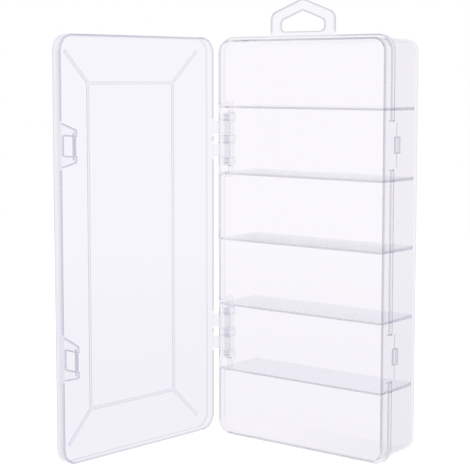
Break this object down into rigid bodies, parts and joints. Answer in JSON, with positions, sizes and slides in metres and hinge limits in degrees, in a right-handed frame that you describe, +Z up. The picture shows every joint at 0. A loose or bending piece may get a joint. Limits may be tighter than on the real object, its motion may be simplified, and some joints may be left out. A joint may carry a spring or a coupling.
{
  "type": "small parts organizer box",
  "caption": "Clear plastic box standing open: a tray with fixed shelves and a hanging tab, and a hipped lid on clip hinges with windowed snap latches.",
  "frame": {"origin": "middle of the flat lower edge of the tray's flange, on which the open box stands", "axes": "+Z up, along the tray's length; +Y from the tray's opening to its back; +X from the hinge side to the latch side"},
  "size_m": [0.1095, 0.1082, 0.1932],
  "materials": {
    "clear_plastic": "clear gloss"
  },
  "bodies": {
    "tray": {"tray_shell": "clear_plastic", "divider_1": "clear_plastic", "divider_2": "clear_plastic", "divider_3": "clear_plastic", "divider_4": "clear_plastic", "divider_5": "clear_plastic", "hanging_tab": "clear_plastic", "upper_hinge_ear_1": "clear_plastic", "upper_hinge_ear_2": "clear_plastic", "upper_hinge_ear_3": "clear_plastic", "lower_hinge_ear_1": "clear_plastic", "lower_hinge_ear_2": "clear_plastic", "lower_hinge_ear_3": "clear_plastic", "upper_hinge_pin": "clear_plastic", "lower_hinge_pin": "clear_plastic", "upper_catch": "clear_plastic", "lower_catch": "clear_plastic"},
    "lid": {"lid_shell": "clear_plastic", "upper_hinge_clip_1": "clear_plastic", "upper_hinge_clip_2": "clear_plastic", "lower_hinge_clip_1": "clear_plastic", "lower_hinge_clip_2": "clear_plastic"},
    "upper_latch": {"upper_latch": "clear_plastic"},
    "lower_latch": {"lower_latch": "clear_plastic"}
  },
  "joints": [
    {"name": "lid_hinge", "type": "hinge", "parent": "tray", "child": "lid", "pos_m": [-0.04595, 0.0052, 0.089], "axis": [0, 0, -1], "range_deg": [-95, 105]},
    {"name": "upper_latch_flex", "type": "hinge", "parent": "lid", "child": "upper_latch", "pos_m": [-0.06041, -0.08433, 0.13282], "axis": [0, 0, -1], "range_deg": [0, 12], "stiffness_Nm_per_rad": 0.1},
    {"name": "lower_latch_flex", "type": "hinge", "parent": "lid", "child": "lower_latch", "pos_m": [-0.06041, -0.08433, 0.04517], "axis": [0, 0, -1], "range_deg": [0, 12], "stiffness_Nm_per_rad": 0.1}
  ]
}
